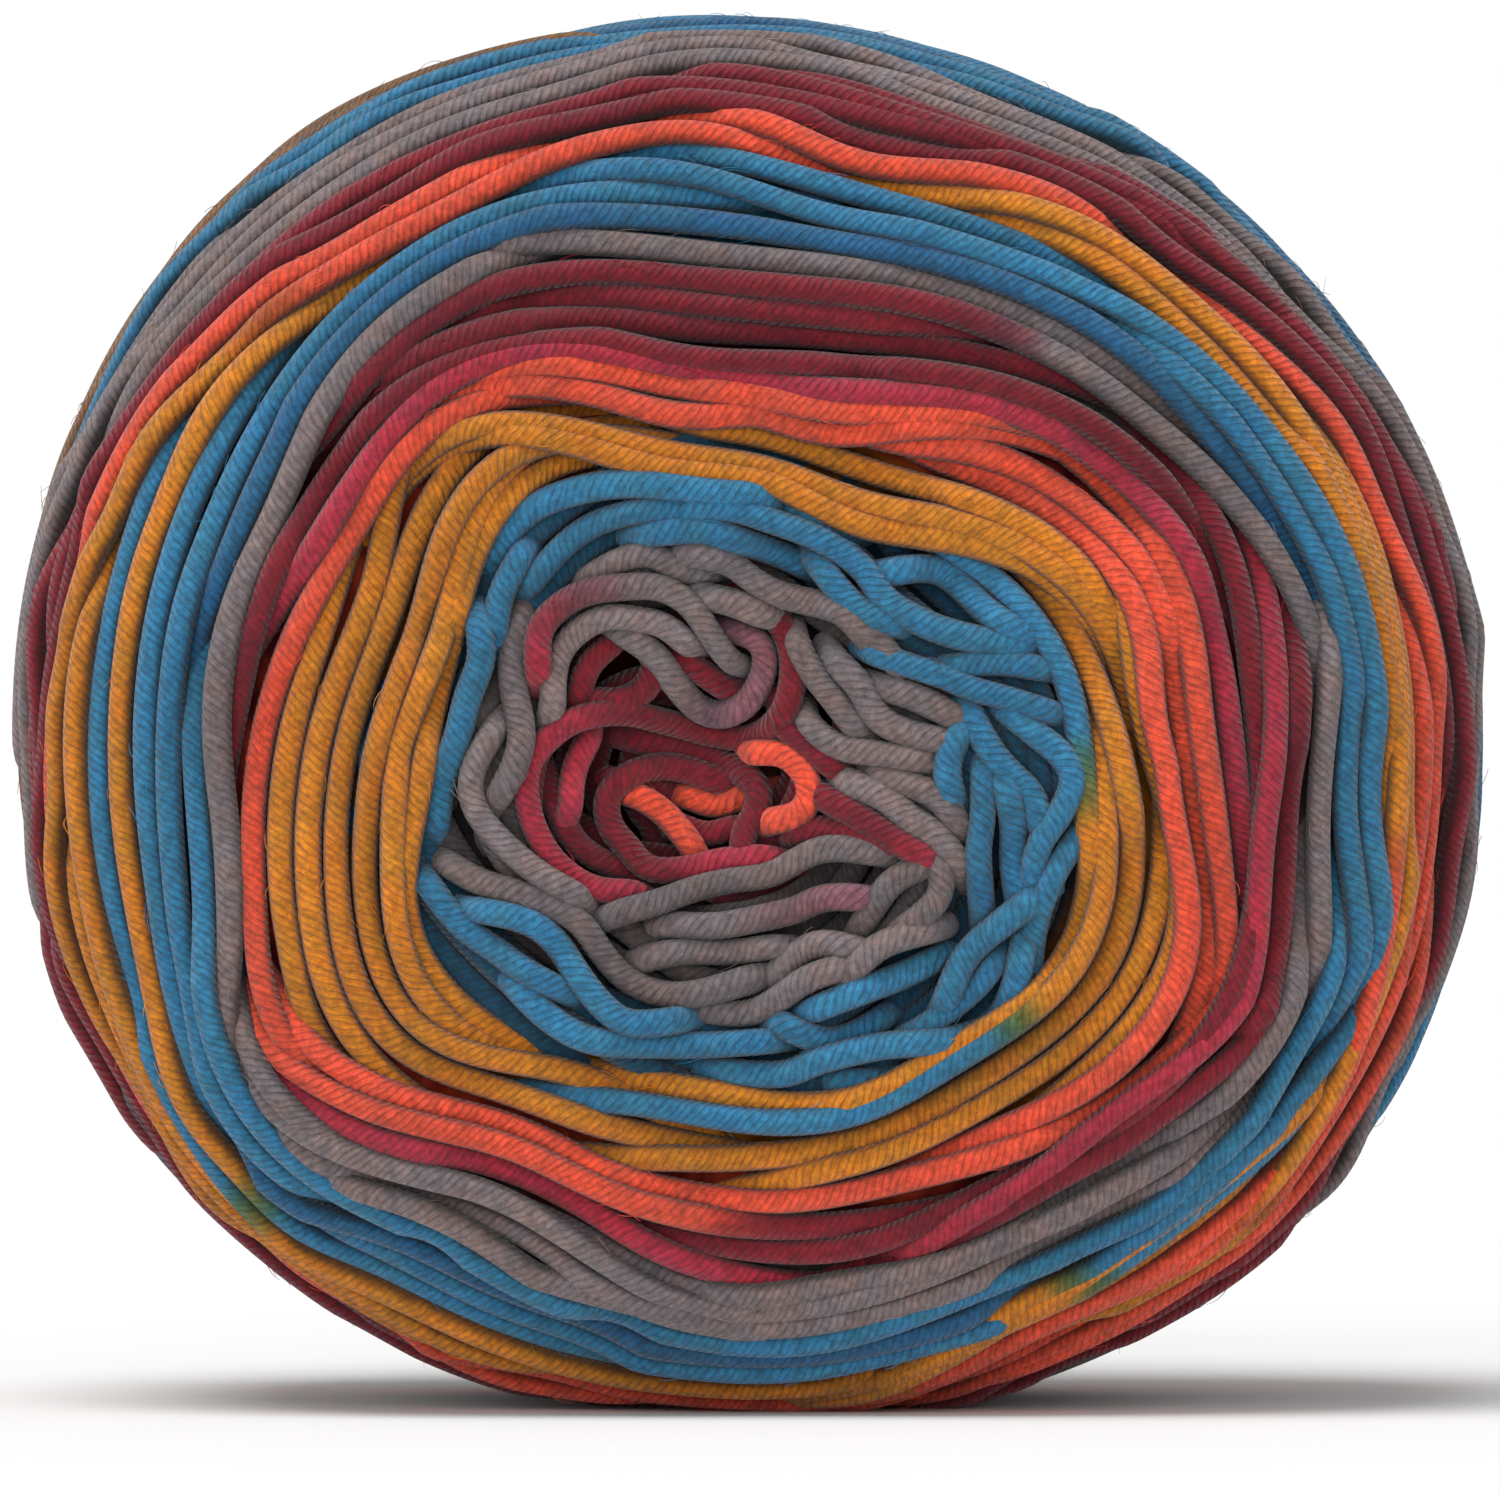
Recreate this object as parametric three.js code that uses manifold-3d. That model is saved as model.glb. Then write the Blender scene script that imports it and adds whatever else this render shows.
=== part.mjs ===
// A centre-pull yarn cake standing on its rim: one soft wound body with domed faces, a barrel-shaped wall,
// a collapsed core in the front face, and a small flat spot where it rests. Millimetres, +Z up, front face to -Y.
import * as THREE from "three";
import { mergeVertices } from "three/addons/utils/BufferGeometryUtils.js";
import Module from "manifold-3d";

// Driving dimensions
const DEPTH = 85; // front face to back face
const YARN = 2.7; // diameter of the yarn
const CORE_HEIGHT = 62.5; // the middle of the core, above the surface the cake rests on
const ROUND_RHO = 6; // how square the faces are: exponent on the radius
const ROUND_Y = 2.6; // how square the wall is: exponent on the depth
const STEPS_AROUND = 54;
const YARN_COLOUR = "#4a7fa6";

// Radius from the core to the outer edge of each colour band on the front face, at each hour of a clock face.
// ridges is how many raised bundles of turns the band shows.
// hour:                                   12     1     2     3     4     5     6     7     8     9    10    11
const BANDS = [
  { band: "crimson core", ridges: 0, edge: [16.0, 15.0, 15.0, 16.5, 15.5, 12.0, 11.5, 13.5, 16.5, 17.5, 16.5, 16.5] },
  { band: "inner grey",   ridges: 1, edge: [23.5, 22.5, 22.5, 24.8, 28.0, 25.0, 23.5, 20.5, 25.0, 24.0, 22.5, 23.5] },
  { band: "inner blue",   ridges: 2, edge: [31.0, 30.5, 35.5, 39.5, 40.0, 35.5, 30.0, 29.5, 32.0, 25.8, 26.5, 33.0] },
  { band: "inner ochre",  ridges: 2, edge: [37.0, 38.5, 40.5, 48.0, 51.0, 43.5, 38.0, 37.0, 42.5, 43.0, 37.5, 39.0] },
  { band: "inner orange", ridges: 1, edge: [40.5, 43.0, 51.0, 54.8, 53.0, 48.5, 42.5, 42.0, 45.8, 47.0, 43.0, 45.0] },
  { band: "mid crimson",  ridges: 1, edge: [50.0, 50.5, 56.0, 61.2, 60.0, 51.5, 47.5, 45.0, 46.8, 47.8, 50.0, 50.0] },
  { band: "mid grey",     ridges: 1, edge: [54.5, 57.0, 61.2, 64.0, 62.0, 57.7, 54.5, 52.3, 50.0, 49.5, 52.5, 55.5] },
  { band: "mid blue",     ridges: 1, edge: [62.0, 62.8, 67.2, 68.8, 65.5, 62.3, 58.7, 57.3, 57.3, 54.7, 58.0, 60.2] },
  { band: "outer ochre",  ridges: 1, edge: [62.6, 65.0, 69.5, 70.4, 68.0, 64.5, 60.6, 61.0, 64.0, 62.8, 62.0, 61.4] },
  { band: "outer orange", ridges: 1, edge: [65.6, 67.8, 74.2, 75.2, 74.0, 67.6, 62.6, 62.2, 64.9, 65.5, 66.2, 65.8] },
  { band: "outer edge",   ridges: 0, edge: [77.6, 78.9, 81.0, 79.7, 76.9, 70.0, 64.8, 64.6, 66.6, 68.7, 72.8, 77.0] },
];

// Main loops of the loosened turns at the core: how far each lies proud of the face, and its route
// as distances right of the core and above it. Both ends of a loop go down between its neighbours.
const LOOPS = [
  { loop: "crimson sweep", proud: 0.9, route: [[1.8, 18.8], [8.2, 15.5], [10.1, 11.6], [9.6, 7.4], [5.4, 5.4], [-1.0, 5.4],
    [-6.4, 6.9], [-10.6, 7.2], [-15.4, 4.6], [-17.3, -0.3], [-16.2, -5.2], [-12.4, -9.6], [-7.6, -12.0]] },
  { loop: "inner crimson", proud: 0.8, route: [[3.5, 0.2], [-1.4, 1.6], [-6.6, 1.6], [-9.6, -1.8], [-9.2, -6.0], [-6.4, -9.6],
    [-0.8, -10.6], [4.6, -9.2], [8.6, -8.2]] },
  { loop: "right crimson", proud: 0.5, route: [[-6.6, 4.2], [-1.4, 3.6], [4.2, 2.2], [8.2, -0.8], [8.0, -4.6], [5.2, -7.6]] },
  { loop: "orange bow", proud: 1.1, route: [[8.4, 3.0], [11.0, 2.8], [12.9, -0.2], [12.2, -3.6], [9.4, -5.4]] },
  { loop: "grey hook", proud: 1.3, route: [[-7.4, 14.8], [-3.8, 12.8], [-0.2, 9.4], [3.2, 8.2], [6.2, 10.2], [6.8, 13.2], [6.0, 15.6]] },
  { loop: "grey nose", proud: 1.5, route: [[-14.8, 10.2], [-12.0, 17.6], [-6.0, 19.6], [-2.0, 18.8], [1.4, 15.6], [3.8, 12.2]] },
  { loop: "grey arch", proud: 1.1, route: [[-14.8, 8.0], [-13.6, 12.6], [-9.2, 16.8], [-4.4, 16.6], [-1.4, 14.0]] },
  { loop: "right grey", proud: 1.3, route: [[15.6, 0.6], [20.2, -2.4], [24.0, -5.6], [26.0, -8.4]] },
  { loop: "low grey", proud: 1.3, route: [[-8.2, -13.6], [-1.0, -13.0], [6.4, -11.4], [12.6, -8.8], [19.0, -7.0]] },
  { loop: "blue bow", proud: 1.6, route: [[24.8, 11.8], [31.0, 11.8], [36.2, 10.4], [38.8, 6.6], [37.4, 2.8]] },
  { loop: "blue hook", proud: 1.2, route: [[31.6, 6.2], [35.4, 3.6], [37.8, 0.4], [36.4, -3.4], [33.8, -8.4]] },
  { loop: "upright blue", proud: 1.8, route: [[28.6, 1.6], [28.4, -3.6], [28.6, -9.0], [28.8, -14.2]] },
  { loop: "crossing blue", proud: 1.6, route: [[34.8, -11.2], [30.4, -14.0], [26.0, -18.4], [25.2, -21.0]] },
];

const TURN = 2 * Math.PI;
const HOURS = 12;
const HALF = DEPTH / 2;

// A smooth closed curve through the twelve values, read at an angle counted anticlockwise from 3 o'clock.
function atAngle(values, angle) {
  const hour = ((3 - (angle / TURN) * HOURS) % HOURS + HOURS) % HOURS;
  const i = Math.floor(hour);
  const t = hour - i;
  const [a, b, c, d] = [-1, 0, 1, 2].map((k) => values[(i + k + HOURS) % HOURS]);
  return b + 0.5 * t * (c - a + t * (2 * a - 5 * b + 4 * c - d + t * (3 * (b - c) + d - a)));
}

const outer = BANDS[BANDS.length - 1].edge;
const outline = (angle) => atAngle(outer, angle);

// Depth of the face at a share rho of the outline's radius: 1 at the middle of the face, 0 at the wall's waist.
const faceShare = (rho) => (1 - Math.min(rho, 1) ** ROUND_RHO) ** (1 / ROUND_Y);

// The front face sinks towards the collapsed core, and the back face into the pull-out hole.
const CORE_SINK = { depth: 6.5, radius: 12 };
const BACK_SINK = { depth: 9, radius: 11 };
const sink = (hollow, r) => hollow.depth * Math.exp(-((r / hollow.radius) ** 2));

const RIDGE_HEIGHT = 1.4;
const FULL_RIDGE = 4; // a ridge narrower than this is lower in proportion
const RIDGE_SWAY = 0.22; // share of a ridge's width that its edges wander
const WALL_ROWS = 17;
const WALL_PITCH = 22; // depth between the wall's raised strands
const WALL_CROSSINGS = 5;
const WALL_RELIEF = 1.1;
const RIM_LIMIT = 0.985; // the wall starts no closer to the waist than this share of the outline's radius
const BACK_RIM = 0.9; // share of the outline's radius at the back face's edge
const BACK_RIDGES = 7;

// A row is one ring of points: where it lies at each angle, and how far it is raised.
function frontRows() {
  const rows = [];
  const coreShares = [0.3, 0.6, 0.85];
  for (const share of coreShares)
    rows.push({ radius: (a) => share * atAngle(BANDS[0].edge, a), raise: () => 0 });
  for (let k = 1; k < BANDS.length - 1; k++) {
    const inner = BANDS[k - 1].edge;
    const { edge, ridges } = BANDS[k];
    for (let j = 0; j < ridges; j++)
      for (const [part, height] of [[0, 0], [0.3, 1], [0.7, 1]]) {
        const sway = (a) => (RIDGE_SWAY * Math.sin(2 * a + 1.7 * k + 2.4 * j)) / ridges;
        const share = (j + part) / ridges;
        const width = (a) => atAngle(edge, a) - atAngle(inner, a);
        const along = (a) => share + sway(a) * Math.sin(Math.PI * share);
        const fullness = (a) => Math.min(1, width(a) / ridges / FULL_RIDGE);
        rows.push({
          radius: (a) => atAngle(inner, a) + along(a) * width(a),
          raise: (a) => height * RIDGE_HEIGHT * fullness(a) * (0.75 + 0.25 * Math.sin(3 * a + 2.1 * k + j)),
        });
      }
  }
  return rows;
}

function point(angle, radius, y) {
  return new THREE.Vector3(radius * Math.cos(angle), y, radius * Math.sin(angle));
}

// Rings of points from the core, over the front face and the wall, to the middle of the back face.
function surfaceRings() {
  const rings = [];
  const angles = Array.from({ length: STEPS_AROUND }, (_, i) => (i / STEPS_AROUND) * TURN);
  for (const row of frontRows())
    rings.push(angles.map((a) => {
      const r = row.radius(a);
      const y = -HALF * faceShare(r / outline(a)) + sink(CORE_SINK, r);
      return { at: point(a, r, y), raise: row.raise(a) };
    }));
  // The wall runs from the last band's edge at the front, through the waist, to the edge of the back face.
  const rimEdge = BANDS[BANDS.length - 2].edge;
  const turnAt = (rho) => Math.asin(rho ** (ROUND_RHO / 2));
  for (let i = 0; i <= WALL_ROWS; i++)
    rings.push(angles.map((a) => {
      const start = turnAt(Math.min(atAngle(rimEdge, a) / outline(a), RIM_LIMIT));
      const end = Math.PI - turnAt(BACK_RIM);
      const turn = start + (i / WALL_ROWS) * (end - start);
      const rho = Math.sin(turn) ** (2 / ROUND_RHO);
      const side = Math.cos(turn);
      const y = -HALF * Math.sign(side) * Math.abs(side) ** (2 / ROUND_Y);
      const lead = (WALL_CROSSINGS * a) / TURN;
      const strands = Math.max(Math.cos(TURN * (y / WALL_PITCH + lead)), Math.cos(TURN * (y / WALL_PITCH - lead)));
      return { at: point(a, rho * outline(a), y), raise: WALL_RELIEF * strands };
    }));
  const backRows = 3 * BACK_RIDGES;
  for (let i = backRows - 1; i > 0; i--)
    rings.push(angles.map((a) => {
      const rho = (BACK_RIM * i) / backRows;
      const r = rho * outline(a);
      const height = i % 3 ? RIDGE_HEIGHT * (0.75 + 0.25 * Math.sin(3 * a + 0.7 * i)) : 0;
      return { at: point(a, r, HALF * faceShare(rho) - sink(BACK_SINK, r)), raise: height };
    }));
  return rings;
}

// One closed mesh through the rings, with a point at each end.
function ringMesh(rings, first, last) {
  const points = [first, ...rings.flat(), last];
  const index = [];
  const at = (ring, i) => 1 + ring * STEPS_AROUND + (i % STEPS_AROUND);
  for (let i = 0; i < STEPS_AROUND; i++) {
    index.push(0, at(0, i), at(0, i + 1));
    for (let ring = 0; ring + 1 < rings.length; ring++) {
      const [a, b, c, d] = [at(ring, i), at(ring, i + 1), at(ring + 1, i + 1), at(ring + 1, i)];
      index.push(a, c, b, a, d, c);
    }
    index.push(points.length - 1, at(rings.length - 1, i + 1), at(rings.length - 1, i));
  }
  const geometry = new THREE.BufferGeometry().setFromPoints(points);
  geometry.setIndex(index);
  return geometry;
}

// The wound body: the smooth form, then each point raised along its own normal, then the flat spot.
function woundBody() {
  const rings = surfaceRings();
  const first = point(0, 0, -HALF + CORE_SINK.depth);
  const last = point(0, 0, HALF - BACK_SINK.depth);
  const smooth = ringMesh(rings.map((ring) => ring.map((p) => p.at)), first, last);
  smooth.computeVertexNormals();
  const normal = smooth.getAttribute("normal");
  const raised = rings.map((ring, k) =>
    ring.map((p, i) => {
      const out = new THREE.Vector3().fromBufferAttribute(normal, 1 + k * STEPS_AROUND + i);
      return p.at.clone().addScaledVector(out, p.raise);
    }));
  for (const p of raised.flat()) p.z = Math.max(p.z, -CORE_HEIGHT);
  return ringMesh(raised, first, last);
}

// A loop of yarn on the face, as a closed tube whose two ends go down into the wound body.
const LOOP_SIDES = 6;
const LOOP_STEP = 2.8; // length of one step along a loop
const END_DROP = 2.2;
function loopTube({ proud, route }) {
  const points = route.map(([x, z], i) => {
    const r = Math.hypot(x, z);
    const face = -HALF * faceShare(r / outline(Math.atan2(z, x))) + sink(CORE_SINK, r);
    const drop = i === 0 || i === route.length - 1 ? END_DROP : 0;
    return new THREE.Vector3(x, face - proud + drop, z);
  });
  const path = new THREE.CatmullRomCurve3(points);
  const section = new THREE.Shape();
  for (let i = 0; i < LOOP_SIDES; i++) {
    const a = (i / LOOP_SIDES) * TURN;
    section[i ? "lineTo" : "moveTo"]((YARN / 2) * Math.cos(a), (YARN / 2) * Math.sin(a));
  }
  const steps = Math.round(path.getLength() / LOOP_STEP);
  return new THREE.ExtrudeGeometry(section, { steps, extrudePath: path, curveSegments: 1 });
}

const wasm = await Module();
wasm.setup();

function solidOf(geometry) {
  const bare = geometry.clone();
  bare.deleteAttribute("normal");
  bare.deleteAttribute("uv");
  const merged = mergeVertices(bare, 1e-4);
  return new wasm.Manifold(new wasm.Mesh({
    numProp: 3,
    vertProperties: merged.getAttribute("position").array,
    triVerts: new Uint32Array(merged.index.array),
  }));
}

function geometryOf(solid) {
  const mesh = solid.getMesh();
  const geometry = new THREE.BufferGeometry();
  geometry.setAttribute("position", new THREE.BufferAttribute(new Float32Array(mesh.vertProperties), 3));
  geometry.setIndex(new THREE.BufferAttribute(new Uint32Array(mesh.triVerts), 1));
  geometry.computeVertexNormals();
  return geometry;
}

function woundYarn() {
  let solid = solidOf(woundBody());
  for (const loop of LOOPS) solid = solid.add(solidOf(loopTube(loop)));
  const [outside] = solid.decompose().sort((a, b) => b.volume() - a.volume());
  return new THREE.Mesh(
    geometryOf(outside),
    new THREE.MeshStandardMaterial({ color: YARN_COLOUR, roughness: 0.95, metalness: 0 }),
  );
}

const cake = new THREE.Group();
const yarn = woundYarn();
yarn.name = "wound_yarn";

// The origin is the middle of the flat spot's surface, below the middle of the cake.
yarn.geometry.computeBoundingBox();
const middle = yarn.geometry.boundingBox.getCenter(new THREE.Vector3());
yarn.position.set(-middle.x, -middle.y, CORE_HEIGHT);
cake.add(yarn);

export default cake;
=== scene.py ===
import math

import bpy
import numpy as np
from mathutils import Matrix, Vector


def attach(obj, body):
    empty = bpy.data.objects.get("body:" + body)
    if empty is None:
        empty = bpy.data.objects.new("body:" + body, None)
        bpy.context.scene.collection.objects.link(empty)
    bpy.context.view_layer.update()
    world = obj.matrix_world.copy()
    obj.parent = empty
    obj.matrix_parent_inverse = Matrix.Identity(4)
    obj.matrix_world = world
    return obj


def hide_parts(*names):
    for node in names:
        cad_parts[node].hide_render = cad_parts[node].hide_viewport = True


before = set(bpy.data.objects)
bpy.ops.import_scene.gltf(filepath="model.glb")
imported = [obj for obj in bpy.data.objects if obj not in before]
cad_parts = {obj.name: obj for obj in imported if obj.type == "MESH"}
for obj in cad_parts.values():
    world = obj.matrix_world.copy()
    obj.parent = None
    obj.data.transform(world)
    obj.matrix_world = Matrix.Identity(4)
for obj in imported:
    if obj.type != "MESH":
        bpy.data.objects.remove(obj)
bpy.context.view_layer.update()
rng = np.random.default_rng(31)

MM = 0.001
TURN = 2 * math.pi

# The cake, with the same sizes as its solid
DEPTH = 85  # front face to back face
HALF = DEPTH / 2
CORE_X = -5.4  # the core's middle, counted rightwards from the cake's
CORE_HEIGHT = 62.5  # its height above what the cake rests on
ROUND_RHO = 6  # how square the faces are: exponent on the radius
ROUND_Y = 2.6  # how square the wall is: exponent on the depth
FRONT_SINK = (6.5, 12)  # depth and radius of the hollow over the collapsed core
BACK_SINK = (9, 11)  # the same for the hole in the back face

# The yarn
YARN = 2.75
RADIUS = YARN / 2
PLIES = 6
LAY = 5.0  # length of one whole turn of the plies
PITCH = 0.93 * YARN  # distance between two strands that lie side by side, pressed together
CONTACT = 0.88 * YARN  # distance between the middles of two strands that cross

COLOURS = {  # sRGB, 0 to 255
    "crimson": (108, 18, 32),
    "rose": (150, 36, 54),
    "grey": (107, 94, 94),
    "mauve": (120, 76, 86),
    "blue": (40, 104, 138),
    # the next is a darker tone of the blue, and on the wall it also stands for painted shade
    "deep blue": (28, 78, 112),
    "ochre": (180, 108, 22),
    # the next is ochre painted darker as shade, for the wall
    "ochre in painted shade": (104, 66, 26),
    "orange": (200, 70, 46),
    # the next is grey painted darker as shade, for the wall and some turns of the outermost band
    "charcoal": (66, 58, 60),
}

# Colour bands of the faces, from the core outwards.
# yarn: colour of the band.
# shade: colour that some turns take in place of the band's own.
# reach: shortest and longest half-angle of a turn's arc in degrees.
# taut: length in mm over which it bridges what is beneath it.
# slip: how far it slants over its neighbours, in strands.
# cross: share of the turns that dip across their neighbours.
# wander: how far it strays sideways, in mm.
# edge: radius from the core to the band's outer edge on the front face, at each hour of a clock face:
#     12    1     2     3     4     5     6     7     8     9     10    11
BAND_COLUMNS = ("yarn", "shade", "reach", "taut", "slip", "cross", "wander", "edge")
BAND_ROWS = [
    ("crimson", "rose", (30, 60), 3, 0.4, 0.0, 0.5,
     [16.0, 15.0, 15.0, 16.5, 15.5, 12.0, 11.5, 13.5, 16.5, 17.5, 16.5, 16.5]),
    ("grey", "grey", (30, 60), 3, 0.4, 0.0, 0.5,
     [23.5, 22.5, 22.5, 24.8, 28.0, 25.0, 23.5, 20.5, 25.0, 24.0, 22.5, 23.5]),
    ("blue", "deep blue", (30, 70), 3, 0.4, 0.0, 0.5,
     [31.0, 30.5, 35.5, 39.5, 40.0, 35.5, 30.0, 29.5, 32.0, 25.8, 26.5, 33.0]),
    ("ochre", "ochre", (24, 75), 2.5, 0.7, 0.22, 0.8,
     [37.0, 38.5, 40.5, 48.0, 51.0, 43.5, 38.0, 37.0, 42.5, 43.0, 37.5, 39.0]),
    ("orange", "orange", (28, 80), 3, 0.7, 0.22, 0.7,
     [40.5, 43.0, 51.0, 54.8, 53.0, 48.5, 42.5, 42.0, 45.8, 47.0, 43.0, 45.0]),
    ("crimson", "rose", (35, 90), 4, 0.6, 0.20, 0.6,
     [50.0, 50.5, 56.0, 61.2, 60.0, 51.5, 47.5, 45.0, 46.8, 47.8, 50.0, 50.0]),
    ("grey", "grey", (35, 90), 4, 0.6, 0.20, 0.5,
     [54.5, 57.0, 61.2, 64.0, 62.0, 57.7, 54.5, 52.3, 50.0, 49.5, 52.5, 55.5]),
    ("blue", "deep blue", (40, 100), 5, 0.4, 0.15, 0.5,
     [62.0, 62.8, 67.2, 68.8, 65.5, 62.3, 58.7, 57.3, 57.3, 56.6, 58.0, 60.2]),
    ("ochre", "ochre", (40, 100), 5, 0.4, 0.15, 0.4,
     [62.6, 65.0, 69.5, 70.4, 68.0, 64.5, 60.6, 61.0, 64.0, 62.8, 62.0, 61.4]),
    ("orange", "orange", (50, 110), 6, 0.3, 0.12, 0.4,
     [65.6, 67.8, 74.2, 75.2, 74.0, 67.6, 62.6, 62.2, 64.9, 65.5, 66.2, 65.8]),
    ("crimson", "rose", (60, 120), 7, 0.2, 0.10, 0.3,
     [70.3, 73.8, 77.4, 77.9, 75.3, 68.8, 63.6, 63.6, 65.8, 67.4, 68.8, 70.5]),
    # some turns of the outermost grey band are grey painted darker as shade
    ("grey", "charcoal", (60, 120), 7, 0.2, 0.10, 0.3,
     [74.3, 76.8, 79.3, 78.9, 76.1, 69.4, 64.2, 64.1, 66.2, 68.2, 71.4, 73.6]),
    ("blue", "deep blue", (60, 120), 7, 0.2, 0.10, 0.3,
     [76.8, 78.3, 80.4, 79.3, 76.5, 69.7, 64.5, 64.35, 66.4, 68.45, 72.2, 76.0]),
]
BANDS = [dict(zip(BAND_COLUMNS, row)) for row in BAND_ROWS]
# Radius of the whole outline at each hour
OUTLINE = [77.6, 78.9, 81.0, 79.7, 76.9, 70.0, 64.8, 64.6, 66.6, 68.7, 72.8, 77.0]

# Colours of the wall's upper and lower strands at each hour, from 12. The darker colours among them are
# ochre, grey and blue painted darker as shade on the wall.
WALL_COLOURS = [
    ("blue", "deep blue"), ("blue", "deep blue"), ("deep blue", "deep blue"), ("deep blue", "charcoal"),
    ("blue", "grey"), ("grey", "mauve"), ("mauve", "crimson"), ("crimson", "crimson"),
    ("charcoal", "grey"), ("charcoal", "charcoal"), ("ochre in painted shade", "charcoal"), ("ochre in painted shade", "ochre"),
]

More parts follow.
